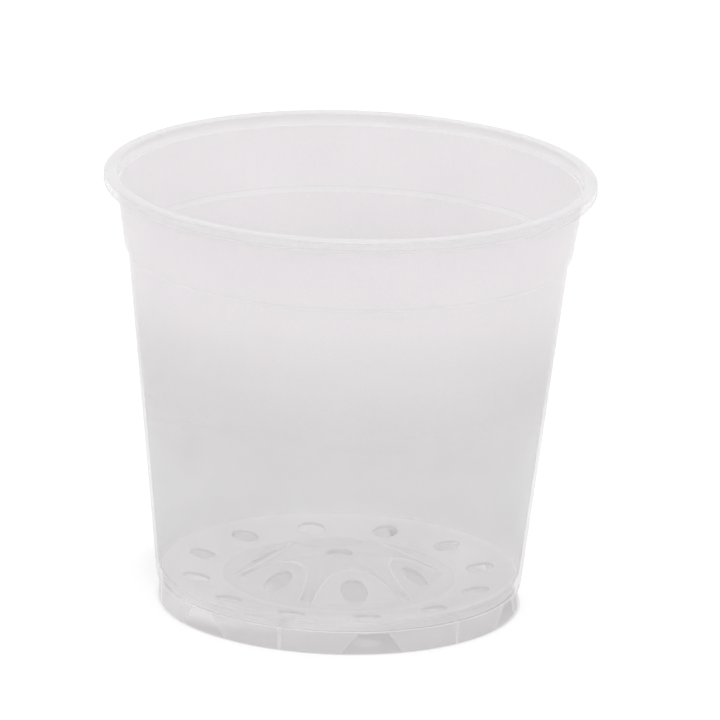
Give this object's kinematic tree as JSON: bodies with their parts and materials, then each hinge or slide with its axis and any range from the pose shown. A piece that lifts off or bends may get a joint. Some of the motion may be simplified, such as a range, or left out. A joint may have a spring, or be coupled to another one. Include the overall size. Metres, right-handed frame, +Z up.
{
  "type": "orchid pot",
  "caption": "Clear tapered plant pot for orchids: overhanging rim, stacking shoulder, slotted foot ring and a dished floor with a lobed, perforated drainage crown.",
  "frame": {"origin": "middle of the circle that the foot ring stands on, at the lowest point of the pot", "axes": "+Z up along the pot's axis; -Y is the front, through the middle of one foot slot; +X to the right"},
  "size_m": [0.1305, 0.1304, 0.1174],
  "materials": {
    "clear_polypropylene": "satin"
  },
  "bodies": {
    "root": {"rim": "clear_polypropylene", "collar": "clear_polypropylene", "shoulder": "clear_polypropylene", "side_wall": "clear_polypropylene", "floor_ring": "clear_polypropylene", "drain_crown": "clear_polypropylene", "foot_ring": "clear_polypropylene", "foot_rib_1": "clear_polypropylene", "foot_rib_2": "clear_polypropylene", "foot_rib_3": "clear_polypropylene", "foot_rib_4": "clear_polypropylene", "foot_rib_5": "clear_polypropylene", "foot_rib_6": "clear_polypropylene"}
  },
  "joints": []
}
